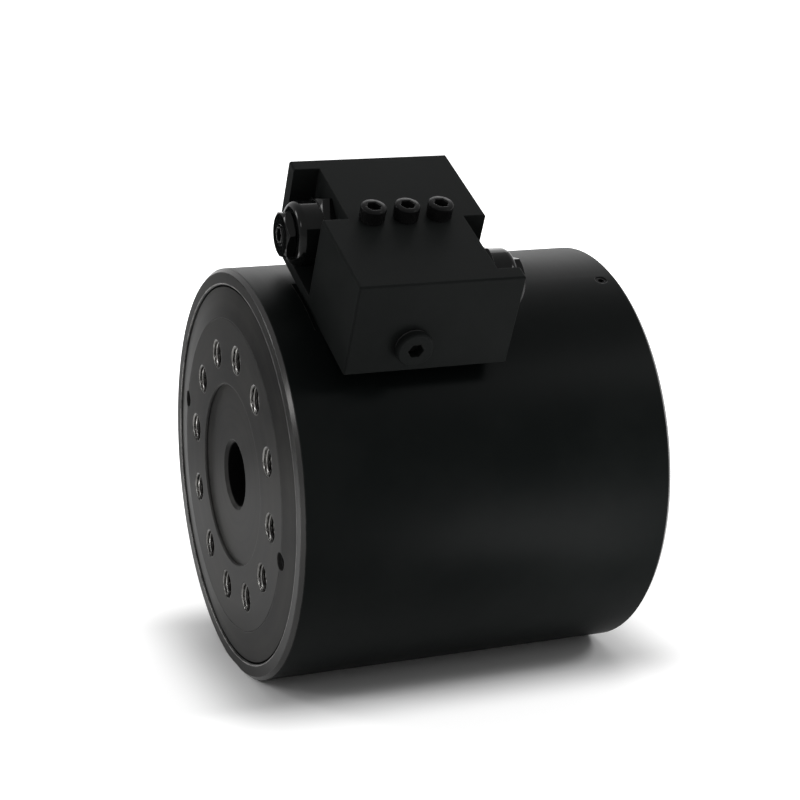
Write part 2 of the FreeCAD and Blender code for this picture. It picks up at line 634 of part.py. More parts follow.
# Shaft: end disc, polished land, helical spline and rear journal in one piece
shaft_blank = turned("shaft_blank", [
    ("HollowRadius", "RecessDepth + HollowChamfer"),
    ("HollowRadius + HollowChamfer", "RecessDepth"),
    ("RecessRadius", "RecessDepth"),
    ("RecessRadius", "EdgeBreak"),
    ("RecessRadius + EdgeBreak", "0"),
    ("FlangeRadius - SeamBreak", "0"),
    ("FlangeRadius", "SeamBreak"),
    ("FlangeRadius", "FrontCord"),
    ("FlangeRadius - CordDepth", "FrontCord"),
    ("FlangeRadius - CordDepth", "FrontCord + CordGroove"),
    ("FlangeRadius", "FrontCord + CordGroove"),
    ("FlangeRadius", "FlangeThick"),
    ("LandRadius", "FlangeThick"),
    ("LandRadius", "ShaftSplineFront"),
    ("InnerTip", "ShaftSplineFront"),
    ("InnerTip", "ShaftSplineRear"),
    ("InnerRoot", "ShaftSplineRear"),
    ("InnerRoot", "RearCapFront"),
    ("JournalRadius", "RearCapFront"),
    ("JournalRadius", "RearCord"),
    ("JournalRadius - CordDepth", "RearCord"),
    ("JournalRadius - CordDepth", "RearCord + CordGroove"),
    ("JournalRadius", "RearCord + CordGroove"),
    ("JournalRadius", "RearFace - EdgeBreak"),
    ("JournalRadius - EdgeBreak", "RearFace"),
    ("HollowRadius + HollowChamfer", "RearFace"),
    ("HollowRadius", "RearFace - HollowChamfer"),
])
tapped_circle(shaft_blank, "output_holes", "0", "OutputCircle", "OutputBolts", "OutputPhase",
              "OutputDepth")
lock_holes(shaft_blank, "0", "FlangeRadius", "LockAngle")
rear_locks = across_sketch(shaft_blank, "rear_lock_holes", "RearFace")
for sign in ("", "-"):
    circle(rear_locks, "0", f"{sign}JournalRadius", "LockRadius")
pocket(shaft_blank, rear_locks, "LockSink + LockLength", reverse=True)
inner_pitch = 360 / size("InnerStarts")
inner_flank = (size("InnerRootHalf") - size("InnerTipHalf")) / (size("InnerTip") - size("InnerRoot"))


def inner_half(radius):
    """Half angle of a shaft tooth at a radius."""
    return size("InnerRootHalf") - inner_flank * (radius - size("InnerRoot"))


shaft_over = size("InnerTip + SplineOver")
shaft_outline = keystone(size("InnerRoot"), shaft_over, inner_pitch / 2 - inner_half(size("InnerRoot")),
                         inner_pitch / 2 - inner_half(shaft_over))
shaft_cutters = spline_cutters("shaft_cutters", shaft_outline, "Inner", inner_pitch / 2, "ShaftSplineFront",
                               "ShaftSplineRear + SplineOver")
cut("shaft", shaft_blank, shaft_cutters)

# Front cap ring: screwed onto the shaft's end disc, with a sloping face and three ring grooves in its rim
front_cap = turned("front_cap_ring", [
    ("FlangeRadius", "SeamBreak"),
    ("FlangeRadius + SeamBreak", "0"),
    ("CapRadius - EdgeBreak", "ConeDrop"),
    ("CapRadius", "ConeDrop + EdgeBreak"),
] + cap_grooves("0", "+") + [
    ("CapRadius", "FlangeThick"),
    ("FlangeRadius", "FlangeThick"),
])
lock_holes(front_cap, "0", "FlangeRadius", "LockAngle")
lock_screws("front_lock_screws", "0", "FlangeRadius", "LockAngle", "+")
cap_rings("front", "0", "+")

# Rear cap: screwed onto the shaft's journal, with tapped holes for a second load
rear_cap = turned("rear_cap", [
    ("JournalRadius", "RearFace - EdgeBreak"),
    ("JournalRadius + EdgeBreak", "RearFace"),
    ("CapRadius - ConeDrop", "RearFace"),
    ("CapRadius", "RearFace - ConeDrop"),
] + cap_grooves("RearFace", "-") + [
    ("CapRadius", "RearCapFront"),
    ("JournalRadius", "RearCapFront"),
])
tapped_circle(rear_cap, "load_holes", "RearFace", "RearCircle", "RearBolts", "RearPhase", "RearDepth",
              reverse=True)
lock_holes(rear_cap, "RearFace", "JournalRadius", "0", reverse=True)
lock_screws("rear_lock_screws", "RearFace", "JournalRadius", "0", "-")
cap_rings("rear", "RearFace", "-")

# O-rings between the shaft and its two caps
for label, seat, station in (("front_cap_oring", "FlangeRadius", "FrontCord"),
                             ("rear_cap_oring", "JournalRadius", "RearCord")):
    cap_cord = axial_torus(label, f"{seat} - CordDepth / 2", "CordRadius", f"{station} + CordGroove / 2")
    subparts.append(cap_cord)

# Piston: a sealed head and a skirt with an outer and an inner helical spline
head_rear = "HeadFront + HeadLength"
piston_blank = turned("piston_blank", [
    ("HeadBore", "HeadFront"),
    ("ReliefRadius", "HeadFront"),
    ("ReliefRadius", "HeadFront + HeadRelief"),
    ("HeadRadius", "HeadFront + HeadRelief"),
    ("HeadRadius", "HeadFront + PistonGuideStart"),
    ("PistonGuideFloor", "HeadFront + PistonGuideStart"),
    ("PistonGuideFloor", "HeadFront + PistonGuideStart + PistonGuideWide"),
    ("HeadRadius", "HeadFront + PistonGuideStart + PistonGuideWide"),
    ("HeadRadius", "HeadFront + PistonSealStart"),
    ("PistonSealFloor", "HeadFront + PistonSealStart"),
    ("PistonSealFloor", "HeadFront + PistonSealStart + PistonSealWide"),
    ("HeadRadius", "HeadFront + PistonSealStart + PistonSealWide"),
    ("HeadRadius", head_rear),
    ("OuterTip", head_rear),
    ("OuterTip", "PistonRear"),
    ("InnerRoot + ToothGap", "PistonRear"),
    ("InnerRoot + ToothGap", "SkirtSplineFront"),
    ("SkirtBore", "SkirtSplineFront"),
    ("SkirtBore", head_rear),
    ("HeadBore", head_rear),
    ("HeadBore", "HeadFront + RodSealStart + RodSealWide"),
    ("RodSealFloor", "HeadFront + RodSealStart + RodSealWide"),
    ("RodSealFloor", "HeadFront + RodSealStart"),
    ("HeadBore", "HeadFront + RodSealStart"),
])
outer_pitch = 360 / size("OuterStarts")
piston_over = size("OuterTip + SplineOver")
piston_outline = keystone(size("OuterRoot"), piston_over, outer_pitch / 2 - outer_half(size("OuterRoot")),
                          outer_pitch / 2 - outer_half(piston_over))
piston_cutters = spline_cutters("piston_cutters", piston_outline, "Outer", outer_pitch / 2, head_rear,
                                "PistonRear + SplineOver")
piston_outside = cut("piston_outside", piston_blank, piston_cutters)
bore_mouth = size("InnerRoot + ToothGap - SplineOver")
bore_root = size("InnerTip + ToothGap")
bore_outline = keystone(bore_mouth, bore_root, inner_half(bore_mouth) + size("InnerPlay"),
                        inner_half(bore_root) + size("InnerPlay"))
bore_cutters = spline_cutters("bore_cutters", bore_outline, "Inner", 0, "SkirtSplineFront - SplineOver",
                              "PistonRear + SplineOver")
cut("piston", piston_outside, bore_cutters)

# Rings on the piston head
for label, name, inner, outer in (
        ("piston_guide_ring", "PistonGuide", "PistonGuideFloor + GrooveGap", "ChamberRadius - RingGap"),
        ("piston_seal", "PistonSeal", "PistonSealFloor + GrooveGap", "ChamberRadius - RingGap"),
        ("piston_rod_seal", "RodSeal", "LandRadius + RingGap", "RodSealFloor - GrooveGap")):
    ring_start = f"HeadFront + {name}Start"
    ring(label, inner, outer, f"{ring_start} + GrooveGap", f"{ring_start} + {name}Wide - GrooveGap")

# Valve block: made upright in its own frame, then leaned about the axis
block = new_body("valve_block")
block_base = flat_sketch(block, "base", "BlockBase")
rectangle(block_base, "-BlockHalf", "BlockHalf", "BlockFront", "BlockRear")
block_pad = pad(block, block_base, "BlockTop - BlockBase")
edges = [f"Edge{i}" for i, edge in enumerate(block_pad.Shape.Edges, start=1)
         if max(vertex.Z for vertex in edge.Vertexes) > size("BlockTop") - 1]
chamfer = block.newObject("PartDesign::Chamfer", "valve_block_edges")
chamfer.Base = (block_pad, edges)
chamfer.setExpression("Size", f"{bound('BlockChamfer')} * 1 mm")
doc.recompute()
end_pockets = flat_sketch(block, "end_pockets", "BlockTop")
rib_face = "BlockHalf - PocketRib"
rectangle(end_pockets, f"-({rib_face})", "-PocketMiddle", "BlockFront - BlockSeatOver", "FrontPocket")
rectangle(end_pockets, "PocketMiddle", rib_face, "RearPocket", "BlockRear + BlockSeatOver")
pocket(block, end_pockets, "BlockTop - PocketFloor")
for name, radius, deep in (("large", "ValveLarge", "ValveStepOne"),
                           ("middle", "ValveMiddle", "ValveStepTwo"),
                           ("small", "ValveSmall", "ValveStepThree")):
    front_bore = across_sketch(block, f"front_{name}_bore", "FrontPocket")
    circle(front_bore, "-ValveAcross", "ValveHeight", radius)
    pocket(block, front_bore, deep)
    rear_bore = across_sketch(block, f"rear_{name}_bore", "RearPocket")
    circle(rear_bore, "ValveAcross", "ValveHeight", radius)
    pocket(block, rear_bore, deep, reverse=True)
block_screw_holes = flat_sketch(block, "screw_holes", "BlockTop")
for turn in range(3):
    circle(block_screw_holes, "0", f"ScrewFirst + {turn} * ScrewPitch", "ScrewClear")
pocket(block, block_screw_holes, "BlockTop - BlockBase")
oil_holes = flat_sketch(block, "oil_holes", "BlockBase")
oil_rooms = flat_sketch(block, "oil_rooms", "BlockBase")
for sign, station in (("-", "FrontOil"), ("", "RearOil")):
    circle(oil_holes, f"{sign}OilAcross", station, "OilRadius")
    circle(oil_rooms, f"{sign}OilAcross", station, "FaceCordRoom")
pocket(block, oil_holes, "OilRise", reverse=True)
pocket(block, oil_rooms, "FaceCordDeep", reverse=True)


def side_sketch(body, name, across):
    """A sketch on a plane square to the block's width: its x is along the axis and its y is up."""
    sketch = new_sketch(body, name, "YZ_Plane")
    sketch.AttachmentOffset = FreeCAD.Placement(Vector(0, 0, size(across)), FreeCAD.Rotation())
    sketch.setExpression("AttachmentOffset.Base.z", f"({bound(across)}) * 1 mm")
    return sketch


for station, reach in (("FrontPort", "FrontPassage"), ("RearPort", "RearPassage")):
    port = side_sketch(block, station + "_hole", "-BlockHalf")
    circle(port, station, "PortHeight", "PortRadius")
    pocket(block, port, "PortDepth", reverse=True)
    passage = side_sketch(block, station + "_passage", "-BlockHalf")
    circle(passage, station, "PortHeight", "PassageRadius")
    pocket(block, passage, reach, reverse=True)
plug_hole = side_sketch(block, "plug_hole", "BlockHalf")
circle(plug_hole, "PlugStation", "PlugHeight", "PlugRadius")
pocket(block, plug_hole, "PlugDepth")
cross_drilling = side_sketch(block, "cross_drilling", "BlockHalf")
circle(cross_drilling, "PlugStation", "PlugHeight", "PassageRadius")
pocket(block, cross_drilling, "BlockHalf + OilAcross")
place(block, "0", "0", "0")

# Block screws: socket head cap screws that stand on the block's top
screws = new_body("block_screws")
shanks = flat_sketch(screws, "shanks", "BlockBase - ScrewReach")
heads = flat_sketch(screws, "heads", "BlockTop")
sockets = flat_sketch(screws, "sockets", "BlockTop + ScrewHeadHigh")
for turn in range(3):
    station = f"ScrewFirst + {turn} * ScrewPitch"
    circle(shanks, "0", station, "ScrewRadius")
    circle(heads, "0", station, "ScrewHead")
    hexagon(sockets, "0", station, "ScrewSocket")
pad(screws, shanks, "BlockTop - BlockBase + ScrewReach")
head_pad = pad(screws, heads, "ScrewHeadHigh")
head_edges = [f"Edge{i}" for i, edge in enumerate(head_pad.Shape.Edges, start=1)
              if min(vertex.Z for vertex in edge.Vertexes) > size("BlockTop + ScrewHeadHigh") - 0.1]
head_chamfer = screws.newObject("PartDesign::Chamfer", "block_screw_edges")
head_chamfer.Base = (head_pad, head_edges)
head_chamfer.setExpression("Size", f"{bound('EdgeBreak')} * 1 mm")
doc.recompute()
pocket(screws, sockets, "ScrewSocketDeep")
place(screws, "0", "0", "0")

# O-rings between the block and the housing
face_cords = []
for name, sign, station in (("front", "-", "FrontOil"), ("rear", "", "RearOil")):
    cord = torus(f"{name}_face_cord", "FaceCordRing", "FaceCordRadius")
    cord_x, cord_z = tilted(f"{sign}OilAcross", "BlockBase + FaceCordDeep / 2")
    place(cord, cord_x, station, cord_z)
    face_cords.append(cord)
group("block_orings", face_cords)

# Port plug and its washer: they close the drilling that joins the front oil port to the rear valve
plug = new_body("port_plug")
plug_thread = side_sketch(plug, "thread", "BlockHalf + PlugWasher")
circle(plug_thread, "PlugStation", "PlugHeight", "PlugRadius")
pad(plug, plug_thread, "PlugDepth + PlugWasher - EdgeBreak", reverse=True)
plug_head = side_sketch(plug, "head", "BlockHalf + PlugWasher")
circle(plug_head, "PlugStation", "PlugHeight", "PlugHead")
plug_pad = pad(plug, plug_head, "PlugHeadThick")
plug_face = size("BlockHalf + PlugWasher + PlugHeadThick")
plug_edges = [f"Edge{i}" for i, edge in enumerate(plug_pad.Shape.Edges, start=1)
              if min(vertex.X for vertex in edge.Vertexes) > plug_face - 0.1]
plug_chamfer = plug.newObject("PartDesign::Chamfer", "port_plug_edge")
plug_chamfer.Base = (plug_pad, plug_edges)
plug_chamfer.setExpression("Size", f"{bound('EdgeBreak')} * 1 mm")
doc.recompute()
plug_hex = side_sketch(plug, "socket", "BlockHalf + PlugWasher + PlugHeadThick")
hexagon(plug_hex, "PlugStation", "PlugHeight", "PlugSocket")
pocket(plug, plug_hex, "PlugSocketDeep")
place(plug, "0", "0", "0")
washer = new_body("port_plug_washer")
washer_face = side_sketch(washer, "face", "BlockHalf")
circle(washer_face, "PlugStation", "PlugHeight", "PlugWasherRadius")
circle(washer_face, "PlugStation", "PlugHeight", "PlugRadius")
pad(washer, washer_face, "PlugWasher")
place(washer, "0", "0", "0")

# Valves: made along their own axis from the adjuster's outer end, then set into the block's pockets
half_turn = FreeCAD.Rotation(Vector(0, 0, 1), 180)


def seat_valve(item, end):
    """Moves a valve piece from its own axis to its cavity; the rear valve looks the other way."""
    if end == "front":
        x, z = tilted("-ValveAcross", "ValveHeight")
        place(item, x, "FrontPocket - ValveOut", z)
    else:
        x, z = tilted("ValveAcross", "ValveHeight")
        place(item, x, "RearPocket + ValveOut", z, half_turn)


def round_edge(body, radius, station, rounding):
    """Rounds the turned edge that lies at this radius and station."""
    base = body.Tip
    rim = []
    for number, edge in enumerate(base.Shape.Edges, start=1):
        offsets = [math.hypot(math.hypot(point.X, point.Z) - size(radius), point.Y - size(station))
                   for point in edge.Vertexes]
        if max(offsets) < 0.01:
            rim.append(f"Edge{number}")
    made = body.newObject("PartDesign::Fillet", body.Name + "_rounding")
    made.Base = (base, rim)
    made.setExpression("Radius", f"{bound(rounding)} * 1 mm")
    doc.recompute()


def hex_chamfers(body, flats, start, end, break_size):
    """Turns the corners off a hexagon at 30 degrees, at its start and, where one is given, at its end."""
    corner = f"({flats}) / sqrt(3) + 1"
    flat = f"({flats}) / 2 - {break_size}"
    drop = f"(({corner}) - ({flat})) * tan(30 * 1 deg)"
    groove(body, "outer_corners", [(flat, start), (corner, start), (corner, f"{start} + {drop}")])
    if end:
        groove(body, "inner_corners", [(flat, end), (corner, end), (corner, f"{end} - {drop}")])


def build_valve(end):
    wall = "ValveOut"
    step_one = f"{wall} + ValveStepOne - ValveNose"
    step_two = f"{wall} + ValveStepTwo - ValveNose"
    step_three = f"{wall} + ValveStepThree - ValveNose"
    large = "ValveLarge - ValvePlay"
    middle = "ValveMiddle - ValvePlay"
    cartridge = turned(f"{end}_cartridge", [
        ("AdjusterRadius", "BonnetStart"),
        ("BonnetRadius", "BonnetStart"),
        ("BonnetRadius", wall),
        (large, wall),
        (large, "ValveCordOne"),
        (f"{large} - ValveCordDeep", "ValveCordOne"),
        (f"{large} - ValveCordDeep", "ValveCordOne + ValveCordWide"),
        (large, "ValveCordOne + ValveCordWide"),
        (large, step_one),
        (middle, step_one),
        (middle, "ValveCordTwo"),
        (f"{middle} - ValveCordDeep", "ValveCordTwo"),
        (f"{middle} - ValveCordDeep", "ValveCordTwo + ValveCordWide"),
        (middle, "ValveCordTwo + ValveCordWide"),
        (middle, step_two),
        ("ValveSmall - ValvePlay", step_two),
        ("ValveSmall - ValvePlay", step_three),
        ("ValveSeat", step_three),
        ("ValveSeat", "SeatStation"),
        ("ValveBore", "SeatStation"),
        ("ValveBore", "AdjusterEnd - 1"),
        ("AdjusterRadius", "AdjusterEnd - 1"),
    ])
    round_edge(cartridge, "BonnetRadius", "BonnetStart", "BonnetRound")
    hexagon_sketch = across_sketch(cartridge, "hexagon", "ValveHexStart")
    hexagon(hexagon_sketch, "0", "0", "ValveHex", upright=True)
    circle(hexagon_sketch, "0", "0", "BonnetRadius - 1")
    pad(cartridge, hexagon_sketch, f"{wall} - ValveHexStart", reverse=True)
    hex_chamfers(cartridge, "ValveHex", "ValveHexStart", None, "0.1")

    nut = new_body(f"{end}_lock_nut")
    nut_sketch = across_sketch(nut, "hexagon", "ValveNutStart")
    hexagon(nut_sketch, "0", "0", "ValveNut", upright=True)
    circle(nut_sketch, "0", "0", "AdjusterRadius")
    pad(nut, nut_sketch, "BonnetStart - ValveNutStart", reverse=True)
    hex_chamfers(nut, "ValveNut", "ValveNutStart", "BonnetStart", "0.3")

    adjuster = turned(f"{end}_adjuster", [
        ("0", "0"),
        ("AdjusterRadius - EdgeBreak", "0"),
        ("AdjusterRadius", "EdgeBreak"),
        ("AdjusterRadius", "AdjusterEnd"),
        ("0", "AdjusterEnd"),
    ])
    adjuster_hex = across_sketch(adjuster, "socket", "0")
    hexagon(adjuster_hex, "0", "0", "AdjusterSocket")
    pocket(adjuster, adjuster_hex, "AdjusterSocketDeep")

    poppet = turned(f"{end}_poppet", [
        ("0", "PoppetStart"),
        ("PoppetRadius", "PoppetStart"),
        ("PoppetRadius", "PoppetEnd - PoppetRadius + PoppetNose"),
        ("PoppetNose", "PoppetEnd"),
        ("0", "PoppetEnd"),
    ])

    spring_low = size("AdjusterEnd + SpringWire + SpringRoom")
    spring_high = size("PoppetStart - SpringWire")
    pitch = (spring_high - spring_low) / size("SpringTurns")
    coil = Part.makeHelix(pitch, spring_high - spring_low, size("SpringRing"))
    wire_round = Part.makeCircle(size("SpringWire"), Vector(size("SpringRing"), 0, 0), Vector(0, 1, 0))
    sweep = Part.BRepOffsetAPI.MakePipeShell(Part.Wire(coil.Edges))
    sweep.setFrenetMode(True)
    sweep.add(Part.Wire(wire_round))
    sweep.build()
    sweep.makeSolid()
    spring_shape = sweep.shape()
    spring_shape.rotate(Vector(0, 0, 0), Vector(1, 0, 0), -90)
    spring_shape.translate(Vector(0, spring_low, 0))
    spring = doc.addObject("Part::Feature", f"{end}_spring")
    spring.Label = f"{end}_spring"
    spring.Shape = Part.makeCompound([spring_shape])
    subparts.append(spring)

    cords = []
    for name, radius, station in (("large", large, "ValveCordOne"), ("middle", middle, "ValveCordTwo")):
        cord_ring = f"{radius} - ValveCordDeep / 2"
        middle_station = f"{station} + ValveCordWide / 2"
        cords.append(axial_torus(f"{end}_{name}_cord", cord_ring, "ValveCordRadius", middle_station))
    seals = group(f"{end}_cartridge_orings", cords)

    for item in (cartridge, nut, adjuster, poppet, spring, seals):
        seat_valve(item, end)


build_valve("front")
build_valve("rear")

doc.recompute()
for item in doc.Objects:
    if "Invalid" in item.State or "Error" in item.State:
        raise ValueError(f"{item.Label} failed: {item.State}")
os.makedirs("parts", exist_ok=True)
for item in subparts:
    shape = item.Shape
    if shape.isNull() or not shape.isValid():
        raise ValueError(f"{item.Label} has no valid shape")
    shape.exportStep(f"parts/{item.Label}.step")
    print(f"{item.Label}: {len(shape.Solids)} solids, {shape.Volume / 1000:.2f} cm3")
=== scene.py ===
import math

import bmesh
import bpy
import numpy as np
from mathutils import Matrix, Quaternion, Vector


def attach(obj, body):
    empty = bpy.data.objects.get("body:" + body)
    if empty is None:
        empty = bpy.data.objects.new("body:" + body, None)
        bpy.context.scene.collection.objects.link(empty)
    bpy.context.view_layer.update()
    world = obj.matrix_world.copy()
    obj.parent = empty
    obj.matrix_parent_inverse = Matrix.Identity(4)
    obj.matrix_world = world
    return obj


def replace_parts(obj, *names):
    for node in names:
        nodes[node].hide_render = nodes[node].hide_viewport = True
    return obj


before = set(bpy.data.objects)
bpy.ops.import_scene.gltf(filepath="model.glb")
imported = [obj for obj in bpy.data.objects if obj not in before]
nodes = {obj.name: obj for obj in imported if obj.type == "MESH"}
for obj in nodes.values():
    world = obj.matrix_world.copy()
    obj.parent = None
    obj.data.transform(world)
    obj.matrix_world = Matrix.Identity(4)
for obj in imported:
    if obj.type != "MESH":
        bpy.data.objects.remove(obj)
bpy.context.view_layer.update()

mm = 0.001
fullTurn = 2 * math.pi
tilt = math.radians(25)  # lean of the valve block about the turning axis
blockAcross = np.array([math.cos(tilt), 0, -math.sin(tilt)])
blockUp = np.array([math.sin(tilt), 0, math.cos(tilt)])
shaftWay = np.array([0.0, 1, 0])  # from the output face to the rear cap


class Wire:  # a shader socket that takes part in Python arithmetic

    def __init__(self, finish, socket):
        self.finish = finish
        self.socket = socket

    def math(self, operation, *others):
        return self.finish.node("ShaderNodeMath", {"operation": operation}, dict(enumerate((self, *others))))

    def __add__(self, other):
        return self.math("ADD", other)

    def __sub__(self, other):
        return self.math("SUBTRACT", other)

    def __mul__(self, other):
        return self.math("MULTIPLY", other)

    def __pow__(self, other):
        return self.math("POWER", other)

    def __rsub__(self, other):
        return self.finish.node("ShaderNodeMath", {"operation": "SUBTRACT"}, {0: other, 1: self})

    __radd__ = __add__
    __rmul__ = __mul__

    def between(self, low, high):  # 0 below low, 1 above high, smooth in between
        return self.finish.node("ShaderNodeMapRange", {"interpolation_type": "SMOOTHSTEP"},
                                {"Value": self, "From Min": low, "From Max": high})

    def swing(self, amount, mean=0.5):  # a noise's departure from its mean, times an amount
        return (self - mean) * amount


class Finish:  # one node tree: its shader, and the nodes that feed it

    def __init__(self, tree, shader):
        self.tree = tree
        self.shader = tree.nodes[shader]

    def node(self, kind, settings={}, inputs={}, out=0):
        made = self.tree.nodes.new(kind)
        for key, value in settings.items():
            setattr(made, key, value)
        for key, value in inputs.items():
            self.join(made.inputs[key], value)
        return Wire(self, made.outputs[out])

    def join(self, socket, value):
        if isinstance(value, Wire):
            self.tree.links.new(value.socket, socket)
        else:
            socket.default_value = value

    def feed(self, **values):  # BaseColor=..., Roughness=...: the shader's own sockets
        for key, value in values.items():
            name = "".join(" " + c if c.isupper() and i else c for i, c in enumerate(key))
            self.join(self.shader.inputs[name.replace("I O R", "IOR")], value)

    def place(self):
        return self.node("ShaderNodeTexCoord", out="Object")

    def parts(self):  # the three coordinates of a point in the part's own frame, in metres
        split = self.node("ShaderNodeSeparateXYZ", inputs={0: self.place()}).socket.node
        return [Wire(self, output) for output in split.outputs]

    def vector(self, x, y, z):
        return self.node("ShaderNodeCombineXYZ", inputs={0: x, 1: y, 2: z})

    def noise(self, where, scale, detail=3, harshness=0.5):
        return self.node("ShaderNodeTexNoise", inputs={"Vector": where, "Scale": scale, "Detail": detail,
                                                       "Roughness": harshness})

    def blendColour(self, share, first, second):
        return self.node("ShaderNodeMix", {"data_type": "RGBA"}, {0: share, 6: first, 7: second}, out=2)

    def rounded(self, width, samples=6):  # the normal as if each edge were rounded to this radius
        return self.node("ShaderNodeBevel", {"samples": samples}, {"Radius": width})

    def edges(self, width, sharp=0.2, onset=0.1):  # 0 on open faces, rising to 1 along edges as sharp as this
        flat = self.node("ShaderNodeNewGeometry", out="True Normal")
        same = self.node("ShaderNodeVectorMath", {"operation": "DOT_PRODUCT"},
                         {0: self.rounded(width), 1: flat}, out="Value")
        return (1 - same).between(sharp * onset, sharp)

    def shown(self):  # 1 for rays from the camera, a mirror or a lens, which meet the white surround
        kinds = ("Camera", "Glossy", "Transmission")
        return sum(self.node("ShaderNodeLightPath", out=f"Is {kind} Ray") for kind in kinds).math("MINIMUM", 1)

    def bump(self, height, strength, distance, normal):
        return self.node("ShaderNodeBump", inputs={"Height": height, "Strength": strength, "Distance": distance,
                                                   "Normal": normal})


def newFinish(name):
    material = bpy.data.materials.new(name)
    material.use_nodes = True
    return material, Finish(material.node_tree, "Principled BSDF")


# In the looks below, a pattern's number is how many of it go to a metre, a part is where on a noise's 0 to 1
# something begins and is complete, and widths, depths and radii are in metres

# Coated outside of the housing: satin black, faint turning lines round it, dust and handling marks. The end
# rims were faced after coating, so they are grey, with a smooth bevel outside and a bright edge at the mouth
housingLook = {
    "black": (0.0020, 0.0028, 0.0027, 1), "faded": (0.0042, 0.0051, 0.0049, 1), "fadedPart": (0.35, 0.75),
    "rim": (0.017, 0.0166, 0.0162, 1), "rimMetal": 0.3, "rimSmoother": 0.08,
    "bevel": (0.036, 0.0355, 0.035, 1), "bevelMetal": 0.5, "bevelSmoother": 0.10,
    "edge": (0.50, 0.49, 0.48, 1), "edgeWidth": 0.0007, "edgeSharp": 0.06, "edgeOffMouth": 0.10,
    "wearPart": (0.2, 0.6), "roughness": 0.42, "patchy": 0.10, "lined": 0.06, "shine": 0.035,
    "patches": 22, "lines": 1800, "lineBreaks": 25, "grain": 2600, "wearPatches": 120,
    "lineShare": 0.7, "lineDepth": 0.00002, "relief": 0.35, "rimFront": 0.0024, "rimRear": 0.1556,
    "mouthRadius": 0.0775, "wornRadius": 0.080, "wornFade": 0.001, "bevelRadius": 0.0823, "blur": 0.0002,
}


def housingCoat():
    look = housingLook
    material, f = newFinish("housingCoat")
    x, y, z = f.parts()
    patches = f.noise(f.place(), look["patches"], detail=4, harshness=0.6)
    stretched = f.vector(x * look["lineBreaks"], y * look["lines"], z * look["lineBreaks"])
    lines = f.noise(stretched, 1, detail=2)
    grain = f.noise(f.place(), look["grain"], detail=2)
    front, rear, blur = look["rimFront"], look["rimRear"], look["blur"]
    radius = (x * x + z * z) ** 0.5
    outOfBore = radius.between(look["mouthRadius"] - blur / 2, look["mouthRadius"])
    faced = ((1 - y.between(front, front + blur)) + y.between(rear - blur, rear)) * outOfBore
    bevel = faced * radius.between(look["bevelRadius"], look["bevelRadius"] + blur)
    mouth = faced * (1 - radius.between(look["wornRadius"], look["wornRadius"] + look["wornFade"]))
    rubbed = f.noise(f.place(), look["wearPatches"], harshness=0.6).between(*look["wearPart"])
    elsewhere = look["edgeOffMouth"]
    wear = f.edges(look["edgeWidth"], look["edgeSharp"]) * rubbed * (elsewhere + (1 - elsewhere) * mouth)
    coat = f.blendColour(patches.between(*look["fadedPart"]), look["black"], look["faded"])
    colour = f.blendColour(bevel, f.blendColour(faced, coat, look["rim"]), look["bevel"])
    height = lines * look["lineShare"] + grain * (1 - look["lineShare"])
    f.feed(BaseColor=f.blendColour(wear, colour, look["edge"]),
           Metallic=faced * look["rimMetal"] + bevel * look["bevelMetal"], SpecularIORLevel=look["shine"],
           Roughness=look["roughness"] + patches.swing(look["patchy"]) + lines.swing(look["lined"])
           - faced * look["rimSmoother"] - bevel * look["bevelSmoother"],
           Normal=f.bump(height, look["relief"], look["lineDepth"], f.rounded(look["edgeWidth"])))
    return material


# Faced steel under black oxide: rings left by the lathe tool, lighter where it was handled, and a painted shade
# in the bore and on the outer wall, which is one side of the gap to the housing
faceLook = {
    "dark": (0.026, 0.026, 0.026, 1), "light": (0.044, 0.043, 0.041, 1), "lightPart": (0.2, 0.85),
    "edge": (0.10, 0.098, 0.095, 1), "edgeWidth": 0.0005, "wearPart": (0.3, 0.6),
    "roughness": 0.34, "patchy": 0.2, "ringed": 0.1, "metal": 0.10, "shine": 0.01,
    "rings": 2300, "ringsAlong": 400, "ringTone": 0.5, "bands": 160, "bandsAlong": 60, "bandTone": 0.6,
    # bore: the colour of the painted shade in the bore and on the outer wall at the gap
    "patches": 30, "wearPatches": 240, "ringDepth": 0.00002, "relief": 0.5, "bore": (0.004, 0.004, 0.004, 1),
    "boreRadius": 0.0134, "boreBlur": 0.0003, "gapRadius": 0.0765, "gapBlur": 0.0001,
}


def facedOxide():
    look = faceLook
    material, f = newFinish("facedOxide")
    x, y, z = f.parts()
    radius = (x * x + z * z) ** 0.5
    rings = f.noise(f.vector(radius * look["rings"], y * look["ringsAlong"], 0), 1, detail=2)
    bands = f.noise(f.vector(radius * look["bands"], y * look["bandsAlong"], 0), 1, detail=2)
    patches = f.noise(f.place(), look["patches"], detail=4, harshness=0.6)
    rubbed = f.noise(f.place(), look["wearPatches"], harshness=0.7).between(*look["wearPart"])
    wear = f.edges(look["edgeWidth"]) * rubbed
    tone = rings.swing(look["ringTone"]) + bands.swing(look["bandTone"]) + patches
    # Painted shade: the bore and the outer wall past the gap radius take the dark bore colour
    bore, gap = look["boreRadius"], look["gapRadius"]
    offRim = 1 - radius.between(gap - look["gapBlur"], gap + look["gapBlur"])
    outside = radius.between(bore - look["boreBlur"], bore) * offRim
    turned = f.blendColour(tone.between(*look["lightPart"]), look["dark"], look["light"])
    colour = f.blendColour(outside, look["bore"], turned)
    f.feed(BaseColor=f.blendColour(wear * outside, colour, look["edge"]), Metallic=outside * look["metal"],
           Roughness=look["roughness"] + patches.swing(look["patchy"]) + rings.swing(look["ringed"]),
           SpecularIORLevel=look["shine"],
           Normal=f.bump(rings, look["relief"], look["ringDepth"], f.rounded(look["edgeWidth"])))
    return material


